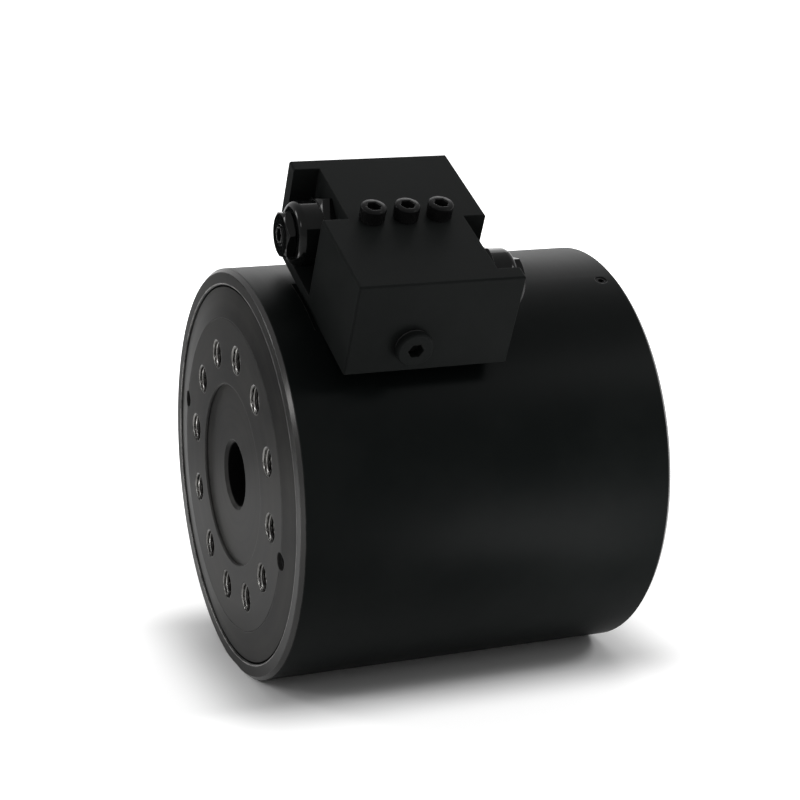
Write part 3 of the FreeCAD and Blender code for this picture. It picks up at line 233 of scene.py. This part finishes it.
# Milled valve block: flat black with a fine grain, edges rubbed a little lighter
blockLook = {
    "black": (0.0050, 0.0058, 0.0056, 1), "faded": (0.0078, 0.0086, 0.0084, 1), "fadedPart": (0.3, 0.75),
    "edge": (0.016, 0.016, 0.0155, 1), "edgeWidth": 0.0006, "wearPart": (0.3, 0.7),
    "roughness": 0.60, "patchy": 0.16, "shine": 0.033, "patches": 38, "grain": 1900, "wearPatches": 120,
    "grainShare": 0.6, "grainDepth": 0.00003, "relief": 0.4,
}


def blockCoat():
    look = blockLook
    material, f = newFinish("blockCoat")
    patches = f.noise(f.place(), look["patches"], detail=5, harshness=0.62)
    grain = f.noise(f.place(), look["grain"])
    rubbed = f.noise(f.place(), look["wearPatches"], harshness=0.6).between(*look["wearPart"])
    wear = f.edges(look["edgeWidth"]) * rubbed
    colour = f.blendColour(patches.between(*look["fadedPart"]), look["black"], look["faded"])
    height = grain * look["grainShare"] + patches * (1 - look["grainShare"])
    f.feed(BaseColor=f.blendColour(wear, colour, look["edge"]),
           Roughness=look["roughness"] + patches.swing(look["patchy"]), SpecularIORLevel=look["shine"],
           Normal=f.bump(height, look["relief"], look["grainDepth"], f.rounded(look["edgeWidth"])))
    return material


# Small steel pieces: black oxide with worn corners, or bare metal. All have the same patches and scratches
steelGrain = {
    "patches": 160, "scratches": 1500, "patchShare": 0.7, "lightPart": (0.25, 0.75), "wearPart": (0.25, 0.6),
    "patchy": 0.12, "scratched": 0.05, "scratchDepth": 0.00001, "relief": 0.2,
}
steelLooks = {
    "boltOxide": {"dark": (0.005, 0.005, 0.0053, 1), "light": (0.009, 0.009, 0.009, 1),
                  "edge": (0.06, 0.06, 0.06, 1), "roughness": 0.20, "metal": 0.03, "shine": 0.045,
                  "edgeWidth": 0.00035},
    "valveOxide": {"dark": (0.003, 0.0033, 0.0033, 1), "light": (0.005, 0.0054, 0.0053, 1),
                   "edge": (0.06, 0.06, 0.059, 1), "roughness": 0.10, "metal": 0.03, "shine": 0.10,
                   "edgeWidth": 0.00035},
    "cutThread": {"dark": (0.055, 0.054, 0.052, 1), "light": (0.20, 0.197, 0.19, 1),
                  "edge": (0.4, 0.4, 0.39, 1), "roughness": 0.24, "metal": 1.0, "shine": 0.5,
                  "edgeWidth": 0.0001},
    "oiledSteel": {"dark": (0.35, 0.35, 0.34, 1), "light": (0.5, 0.5, 0.49, 1),
                   "edge": (0.65, 0.65, 0.64, 1), "roughness": 0.28, "metal": 1.0, "shine": 0.5,
                   "edgeWidth": 0.00035},
    "bearingBronze": {"dark": (0.42, 0.26, 0.1, 1), "light": (0.55, 0.36, 0.16, 1),
                      "edge": (0.7, 0.5, 0.25, 1), "roughness": 0.35, "metal": 1.0, "shine": 0.5,
                      "edgeWidth": 0.00035},
}


def steelFinish(name):
    look = steelGrain | steelLooks[name]
    material, f = newFinish(name)
    patches = f.noise(f.place(), look["patches"], detail=4, harshness=0.6)
    scratches = f.noise(f.place(), look["scratches"], harshness=0.6)
    wear = f.edges(look["edgeWidth"]) * patches.between(*look["wearPart"])
    tone = patches * look["patchShare"] + scratches * (1 - look["patchShare"])
    colour = f.blendColour(tone.between(*look["lightPart"]), look["dark"], look["light"])
    f.feed(BaseColor=f.blendColour(wear, colour, look["edge"]), Metallic=look["metal"],
           Roughness=look["roughness"] + patches.swing(look["patchy"]) + scratches.swing(look["scratched"]),
           SpecularIORLevel=look["shine"],
           Normal=f.bump(scratches, look["relief"], look["scratchDepth"], f.rounded(look["edgeWidth"])))
    return material


# Rubber and bearing plastic: dull, with a moulded grain
mouldedGrain = {
    "patches": 90, "grain": 2400, "lightPart": (0.3, 0.7), "patchy": 0.12, "grainDepth": 0.00002, "relief": 0.3,
    "edgeWidth": 0.0002,
}
mouldedLooks = {
    "nitrile": {"dark": (0.012, 0.012, 0.012, 1), "light": (0.022, 0.022, 0.022, 1), "roughness": 0.6},
    "guidePlastic": {"dark": (0.2, 0.155, 0.1, 1), "light": (0.28, 0.22, 0.15, 1), "roughness": 0.5},
}


def mouldedFinish(name):
    look = mouldedGrain | mouldedLooks[name]
    material, f = newFinish(name)
    patches = f.noise(f.place(), look["patches"], detail=4, harshness=0.6)
    grain = f.noise(f.place(), look["grain"], detail=2)
    f.feed(BaseColor=f.blendColour(patches.between(*look["lightPart"]), look["dark"], look["light"]),
           Roughness=look["roughness"] + patches.swing(look["patchy"]),
           Normal=f.bump(grain, look["relief"], look["grainDepth"], f.rounded(look["edgeWidth"])))
    return material


finishes = {"housingCoat": housingCoat(), "facedOxide": facedOxide(), "blockCoat": blockCoat()}
finishes.update({name: steelFinish(name) for name in steelLooks})
finishes.update({name: mouldedFinish(name) for name in mouldedLooks})
ends = ("front", "rear")
worn = {  # the solids that wear each finish; the rest are nitrile
    "housingCoat": ["housing"],
    "facedOxide": ["shaft", "front_cap_ring", "rear_cap"],
    "blockCoat": ["valve_block", "port_plug"],
    "boltOxide": ["grease_plug", "block_screws"] + [f"{end}_lock_screws" for end in ends],
    "valveOxide": [f"{end}_{piece}" for end in ends for piece in ("cartridge", "lock_nut", "adjuster")],
    "oiledSteel": ["gallery_plugs", "ring_gear", "piston"]
                  + [f"{end}_{piece}" for end in ends for piece in ("poppet", "spring")],
    "bearingBronze": [f"{end}_thrust_washer" for end in ends],
    "guidePlastic": ["piston_guide_ring"] + [f"{end}_guide_ring" for end in ends],
}
finishOf = {node: finish for finish, members in worn.items() for node in members}
for name, solid in nodes.items():
    solid.data.materials.clear()
    solid.data.materials.append(finishes[finishOf.get(name, "nitrile")])
print("finishes:", len(finishes))


# Puts points given on three axes in millimetres into the part's frame: origin + x * side + y * way + z * axis
def setIn(points, origin, side, axis):
    axis = np.asarray(axis, float)
    side = np.asarray(side, float)
    basis = np.stack([side, np.cross(axis, side), axis])
    return (points @ basis + np.asarray(origin, float)) * mm


# A mesh from grids of points, copies x rows x columns: each row is a closed ring, and the rows either close
# too, or end in two poles where a ring has shrunk to a point
def gridMesh(name, grids, body, finish, closed=False, sharp=38, weld=1e-7):
    copies, rows, columns = grids.shape[:3]
    corner = np.arange(copies * rows * columns).reshape(copies, rows, columns)
    lower = corner if closed else corner[:, :-1]
    upper = np.roll(corner, -1, axis=1) if closed else corner[:, 1:]
    quads = np.stack([lower, np.roll(lower, -1, axis=2), np.roll(upper, -1, axis=2), upper], axis=-1)
    mesh = bpy.data.meshes.new(name)
    mesh.from_pydata(grids.reshape(-1, 3), [], quads.reshape(-1, 4))
    shape = bmesh.new()
    shape.from_mesh(mesh)
    bmesh.ops.remove_doubles(shape, verts=shape.verts, dist=weld)
    bmesh.ops.recalc_face_normals(shape, faces=shape.faces)
    shape.to_mesh(mesh)
    shape.free()
    mesh.polygons.foreach_set("use_smooth", np.ones(len(mesh.polygons), bool))
    mesh.set_sharp_from_angle(angle=math.radians(sharp))
    mesh.materials.append(finishes[finish])
    piece = bpy.data.objects.new(name, mesh)
    bpy.context.scene.collection.objects.link(piece)
    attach(piece, body)
    return piece


# A grid of points from rings round an axis: radius times the cosine and sine of the angle, and a height for
# each ring
def ringGrid(radii, angle, heights):
    levels = np.broadcast_to(heights, radii.shape)
    return np.stack([radii * np.cos(angle), radii * np.sin(angle), levels], axis=-1)


# The same from a list of rings, each one's radii and its height
def stackRings(rings, angle):
    radii = np.stack([row for row, height in rings])
    return ringGrid(radii, angle, np.array([height for row, height in rings])[:, None])


# Evenly spaced angles of one ring
def ringAngles(columns):
    return np.linspace(0, fullTurn, columns, endpoint=False)


# Radius of a hexagon's outline at an angle: half its width over the cosine of the angle from the nearest flat
def hexRadius(angle, flats):
    return flats / 2 / np.cos((angle + math.pi / 6) % (math.pi / 3) - math.pi / 6)


threadForm = {"rootFlat": 0.12, "flank": 0.66, "rowsPerPitch": 10}


# Height of a thread's ridge, 0 at its root and 1 at its crest: a saw-tooth of height / pitch - angle / turn,
# cut flat at both ends
def ridge(height, angle, pitch):
    phase = (height / pitch - angle / fullTurn) % 1
    saw = 1 - np.abs(2 * phase - 1)
    return np.clip((saw - threadForm["rootFlat"]) / threadForm["flank"], 0, 1)


# How many rows of points a thread of this length gets
def threadRows(length, pitch):
    return int(length / pitch * threadForm["rowsPerPitch"])


# Lining of a tapped hole: its ridge in pitches, and its gaps to the wall in millimetres
lining = {"columns": 44, "ridge": 0.54, "innerGap": 0.1, "outerGap": 0.07}


# A sleeve that lines a tapped hole from its mouth down. Inside, the radius is the hole's own less a gap and the
# ridge, which a cone of 45 degrees cuts back at the mouth; outside, it stays just clear of the hole's wall
def threadSleeve(radius, pitch, depth):
    angle = ringAngles(lining["columns"])
    height = np.linspace(0, depth, threadRows(depth, pitch))[:, None]
    crest = np.minimum(lining["ridge"] * pitch * ridge(height, angle, pitch), height)
    inner = radius - lining["innerGap"] - crest
    outer = np.full((2, len(angle)), radius - lining["outerGap"])
    radii = np.concatenate([inner, outer])
    depths = np.concatenate([height, [[depth], [0]]])
    return ringGrid(radii, angle, depths)


# Places evenly round the turning axis; first is the angle of one of them from the top, in degrees
def boltCircle(circle, count, first, station):
    angle = np.arange(count) * fullTurn / count + math.radians(first)
    return np.stack([circle * np.sin(angle), np.full(count, station), circle * np.cos(angle)], axis=-1)


# Tapped holes, in millimetres; each lining starts just inside its hole's mouth
tappedHoles = {
    "outputThreads": {
        "radius": 6, "pitch": 1.75, "depth": 16, "body": "rotor", "inward": shaftWay, "side": (1, 0, 0),
        "mouths": boltCircle(circle=50, count=12, first=9, station=0.05)},
    "rearThreads": {
        "radius": 6, "pitch": 1.75, "depth": 14, "body": "rotor", "inward": -shaftWay, "side": (1, 0, 0),
        "mouths": boltCircle(circle=58, count=8, first=22.5, station=157.95)},
    "baseThreads": {
        "radius": 5, "pitch": 1.5, "depth": 10.5, "body": "stator", "inward": (0, 0, 1), "side": (1, 0, 0),
        "mouths": [(x, y, -81.95) for x in (-11, 11) for y in (44, 114)]},
    "portThreads": {
        "radius": 6.58, "pitch": 1.337, "depth": 12, "body": "stator", "inward": blockAcross, "side": (0, 1, 0),
        "mouths": [-42.95 * blockAcross + y * shaftWay + 103 * blockUp for y in (42, 74.5)]},
}
for name, hole in tappedHoles.items():
    sleeve = threadSleeve(hole["radius"], hole["pitch"], hole["depth"])
    grids = np.stack([setIn(sleeve, mouth, hole["side"], hole["inward"]) for mouth in hole["mouths"]])
    gridMesh(name, grids, hole["body"], "cutThread", closed=True)
print("tapped holes:", len(tappedHoles))


# Cap screw, in millimetres from its seat; knurlEnd, collarFrom and roundFrom are measured down from its top
capScrew = {
    "stations": (40.5, 54.25, 68), "seat": 122, "shank": 3, "shankGap": 0.06, "reach": 48, "pitch": 1.0,
    "threadDepth": 0.5, "threadTop": -22, "threadRows": 156, "runout": 0.4, "head": 5, "headGap": 0.03,
    "height": 6, "flats": 5, "socket": 3, "cone": 0.5, "ribs": 32, "pointsPerRib": 4, "ribDepth": 0.16,
    "lift": 0.02, "footIn": 0.25, "footUp": 0.35, "knurlEnd": 1.5, "collarFrom": 1.15, "roundFrom": 0.6,
    "roundMid": (0.14, 0.25), "roundIn": 0.5, "leadOut": 0.3, "leadDown": 0.25,
}


# Rings from the tip of the shank to the floor of the hexagon socket. The shank carries a thread, the head a
# knurl of fine ribs, and the rings inside the socket follow the hexagon's outline
def capScrewGrid():
    look = capScrew
    angle = ringAngles(look["ribs"] * look["pointsPerRib"])
    flat = np.ones_like(angle)
    height = np.linspace(-look["reach"], look["threadTop"], look["threadRows"])[:, None]
    shank = look["shank"] - look["shankGap"]
    thread = shank - look["threadDepth"] * look["pitch"] * (1 - ridge(height, angle, look["pitch"]))
    knurl = look["head"] - look["ribDepth"] * (0.5 + 0.5 * np.cos(angle * look["ribs"]))
    collar = look["head"] - look["headGap"]
    hexagon = hexRadius(angle, look["flats"])
    top = look["height"]
    floor = top - look["socket"]
    midIn, midDown = look["roundMid"]
    pole = 0 * flat
    rings = [(pole, -look["reach"])]
    rings += [(row, float(level)) for row, level in zip(thread, height[:, 0])]
    rings += [(shank * flat, look["threadTop"] + look["runout"]), (shank * flat, look["lift"])]
    rings += [((collar - look["footIn"]) * flat, look["lift"])]
    rings += [(knurl, look["footUp"]), (knurl, top - look["knurlEnd"])]
    rings += [(collar * flat, top - look["collarFrom"]), (collar * flat, top - look["roundFrom"])]
    rings += [((collar - midIn) * flat, top - midDown), ((collar - look["roundIn"]) * flat, top)]
    rings += [(hexagon + look["leadOut"], top), (hexagon, top - look["leadDown"]), (hexagon, floor)]
    rings += [(pole, floor - look["cone"])]
    return stackRings(rings, angle)


screwGrid = capScrewGrid()
seats = [y * shaftWay + capScrew["seat"] * blockUp for y in capScrew["stations"]]
screwGrids = np.stack([setIn(screwGrid, seat, blockAcross, blockUp) for seat in seats])
capScrews = gridMesh("capScrews", screwGrids, "stator", "boltOxide")
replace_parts(capScrews, "block_screws")

pinForm = {"columns": 60, "gap": 0.05, "threadDepth": 0.58, "endDepth": 0.6, "threadFrom": 0.8, "runout": 0.4,
           "lead": 0.25, "cone": 0.4}  # threadDepth and endDepth in pitches, the others in mm


# Threaded pin with a hexagon socket in its end: rings from the socket's floor, over the end and down the thread
def socketPinGrid(radius, pitch, length, flats, socket):
    form = pinForm
    angle = ringAngles(form["columns"])
    flat = np.ones_like(angle)
    hexagon = hexRadius(angle, flats)
    height = np.linspace(form["threadFrom"], length - form["runout"], threadRows(length, pitch))[:, None]
    thread = radius - form["gap"] - form["threadDepth"] * pitch * (1 - ridge(height, angle, pitch))
    end = (radius - form["endDepth"] * pitch - form["gap"]) * flat
    lead = form["lead"]
    pole = 0 * flat
    rings = [(pole, socket + form["cone"]), (hexagon, socket)]
    rings += [(hexagon, lead), (hexagon + lead, 0), (end, 0)]
    rings += [(row, float(level)) for row, level in zip(thread, height[:, 0])]
    rings += [(end, length), (pole, length)]
    return stackRings(rings, angle)


lockPin = {"radius": 3.6, "pitch": 1, "length": 11, "flats": 4, "socket": 4}
adjusterStud = {"radius": 4, "pitch": 1.25, "length": 22, "flats": 5, "socket": 4}
adjusterLift = 103.6 * blockUp
adjusterSide = 19.5 * blockAcross
socketPins = {
    "frontLockPins": {
        "node": "front_lock_screws", "body": "rotor", "size": lockPin, "finish": "boltOxide",
        "inward": shaftWay, "side": (1, 0, 0),
        "ends": boltCircle(circle=64, count=2, first=106, station=1.4)},
    "rearLockPins": {
        "node": "rear_lock_screws", "body": "rotor", "size": lockPin, "finish": "boltOxide",
        "inward": -shaftWay, "side": (1, 0, 0),
        "ends": boltCircle(circle=40, count=2, first=0, station=156.6)},
    "frontAdjusterStud": {
        "node": "front_adjuster", "body": "stator", "size": adjusterStud, "finish": "valveOxide",
        "inward": shaftWay, "side": blockAcross, "ends": [adjusterLift - adjusterSide + 12.1 * shaftWay]},
    "rearAdjusterStud": {
        "node": "rear_adjuster", "body": "stator", "size": adjusterStud, "finish": "valveOxide",
        "inward": -shaftWay, "side": blockAcross, "ends": [adjusterLift + adjusterSide + 97.4 * shaftWay]},
}
for name, pin in socketPins.items():
    shape = socketPinGrid(**pin["size"])
    grids = np.stack([setIn(shape, end, pin["side"], pin["inward"]) for end in pin["ends"]])
    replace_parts(gridMesh(name, grids, pin["body"], pin["finish"]), pin["node"])
print("screws and studs made")


# Studio: a pale floor that fades into a white surround, its glow held back near the object's foot as a painted
# shadow, soft lamps, and a black card on the left, which only shows as a dark reflection in the output face
studio = {
    "floorHeight": -82 * mm, "floorSize": 12, "floorColour": (0.86, 0.86, 0.86, 1), "floorLift": 0.6,
    "middle": 0.079, "halfWide": 0.045, "halfLong": 0.075, "near": 0.04, "fadeFrom": 0.05, "fadeTo": 0.30,
    "dull": 0.9, "fill": 0.4, "lamps": {
        # name: place, aim, width, height, power
        "behind": ((-1.1, 0.58, 0.75), (0, 0.08, 0.05), 0.8, 1.0, 4.8),
        "key": ((0.70, 1.0, 1.05), (0, 0.08, 0.02), 0.35, 0.35, 6),
        "front": ((0.20, -1.0, 0.55), (0, 0, 0), 0.20, 0.20, 1.4),
        "left": ((-0.55, -0.80, 0.45), (0, 0, 0), 0.24, 0.24, 2),
        "lowFront": ((-0.07, -0.19, -0.07), (0, 0, -0.02), 0.06, 0.06, 0.10),
        "tableGlow": ((0.17, 0.15, -0.078), (0.14, 0.13, 0.2), 0.10, 0.34, 0.6),
    },
    "flag": [(-0.18, -0.27, -0.082), (-0.28, -0.055, -0.082), (-0.28, -0.055, 0.135), (-0.18, -0.27, 0.135)],
    "flagColour": (0.004, 0.004, 0.004, 1),
}


def stageSheet(name, corners, material):
    sheet = bpy.data.meshes.new(name)
    sheet.from_pydata(corners, [], [(0, 1, 2, 3)])
    sheet.materials.append(material)
    holder = bpy.data.objects.new(name, sheet)
    bpy.context.scene.collection.objects.link(holder)
    return holder


def buildStudio():
    scene = bpy.context.scene
    material, f = newFinish("paleFloor")
    x, y = f.parts()[:2]
    aside = (x.math("ABSOLUTE") - studio["halfWide"]).math("MAXIMUM", 0)
    along = ((y - studio["middle"]).math("ABSOLUTE") - studio["halfLong"]).math("MAXIMUM", 0)
    reach = (aside * aside + along * along) ** 0.5  # how far the floor lies outside the object's foot
    far = reach.between(studio["fadeFrom"], studio["fadeTo"])
    # Painted shadow: the floor's glow is nothing at the object's foot and rises to floorLift over a short
    # reach, then to white
    lift = reach.between(0, studio["near"]) * studio["floorLift"] + far * (1 - studio["floorLift"])
    f.feed(BaseColor=studio["floorColour"], Roughness=studio["dull"], SpecularIORLevel=0.0,
           EmissionColor=f.shown() * lift, EmissionStrength=1.0)
    corners = np.array([(-1, -1), (1, -1), (1, 1), (-1, 1)]) * studio["floorSize"] / 2
    stageSheet("studioFloor", [(x, y, studio["floorHeight"]) for x, y in corners], material)
    material, f = newFinish("flagCloth")
    f.feed(BaseColor=studio["flagColour"], Roughness=studio["dull"], SpecularIORLevel=0.0)
    flag = stageSheet("studioFlag", studio["flag"], material)
    flag.visible_camera = flag.visible_diffuse = flag.visible_shadow = False
    scene.world = bpy.data.worlds.new("studioWorld")
    scene.world.use_nodes = True
    w = Finish(scene.world.node_tree, "Background")
    w.feed(Color=(1, 1, 1, 1), Strength=studio["fill"] + w.shown() * (1 - studio["fill"]))
    for name, (place, aim, width, height, power) in studio["lamps"].items():
        lamp = bpy.data.lights.new(name, "AREA")
        lamp.shape = "RECTANGLE"
        lamp.size, lamp.size_y, lamp.energy = width, height, power
        holder = bpy.data.objects.new(name, lamp)
        holder.location = place
        holder.rotation_euler = (Vector(aim) - Vector(place)).to_track_quat("-Z", "Y").to_euler()
        holder.visible_camera = False
        scene.collection.objects.link(holder)
    scene.view_settings.view_transform = "Standard"
    print("studio:", len(studio["lamps"]), "lamps")


buildStudio()

# Camera: at the photograph's angle, azimuth 0 looking along +Y; roll leans it anticlockwise, in degrees. Its
# place, lens and sensor are in millimetres
cameraLook = {"place": (750.2, -232.0, 227.9), "azimuth": 67.82, "elevation": 14.05, "roll": 0.56, "lens": 90,
              "sensor": 36, "nearest": 10}


def placeCamera():
    azimuth = math.radians(cameraLook["azimuth"])
    elevation = math.radians(cameraLook["elevation"])
    level = math.cos(elevation)
    away = Vector((math.sin(azimuth) * level, -math.cos(azimuth) * level, math.sin(elevation)))
    lens = bpy.data.cameras.new("photoCamera")
    lens.sensor_width = cameraLook["sensor"]
    lens.lens = cameraLook["lens"]
    lens.clip_start = cameraLook["nearest"] * mm
    camera = bpy.data.objects.new("photoCamera", lens)
    camera.location = Vector(cameraLook["place"]) * mm
    roll = Quaternion((0, 0, 1), math.radians(cameraLook["roll"]))
    camera.rotation_euler = ((-away).to_track_quat("-Z", "Y") @ roll).to_euler()
    bpy.context.scene.collection.objects.link(camera)
    bpy.context.scene.camera = camera


placeCamera()
bpy.context.view_layer.update()
